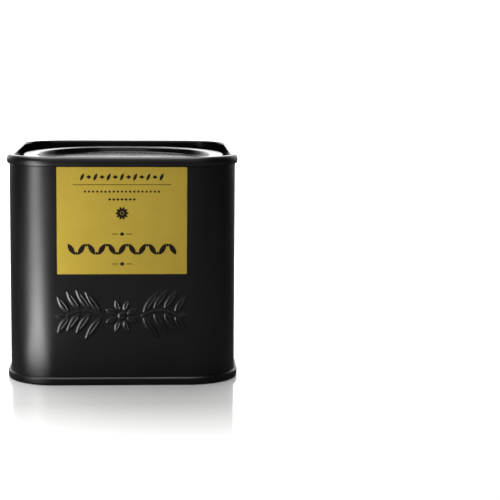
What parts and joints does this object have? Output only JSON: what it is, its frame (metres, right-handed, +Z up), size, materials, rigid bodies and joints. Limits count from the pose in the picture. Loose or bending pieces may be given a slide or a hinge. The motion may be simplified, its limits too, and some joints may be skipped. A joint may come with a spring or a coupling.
{
  "type": "spice tin",
  "caption": "Square tinplate spice tin with rounded corners, a press-on lid with a sunken well, a paper label and a fill of mustard seeds.",
  "frame": {"origin": "middle of the base, in the plane of the bottom seam that the tin stands on", "axes": "+Z up through the middle of the lid, -Y out of the side that carries the label, +X to the right of that side"},
  "size_m": [0.0666, 0.0666, 0.065],
  "materials": {
    "black_lacquered_tinplate": "satin",
    "label_paper": "matte",
    "mustard_seed": "satin"
  },
  "bodies": {
    "tin": {"body_shell": "black_lacquered_tinplate", "bottom_plate": "black_lacquered_tinplate", "front_label": "label_paper", "mustard_seeds": "mustard_seed"},
    "lid": {"lid": "black_lacquered_tinplate"}
  },
  "joints": [
    {"name": "lid_lift", "type": "slide", "parent": "tin", "child": "lid", "axis": [0, 0, 1], "range_m": [0, 0.06]}
  ]
}
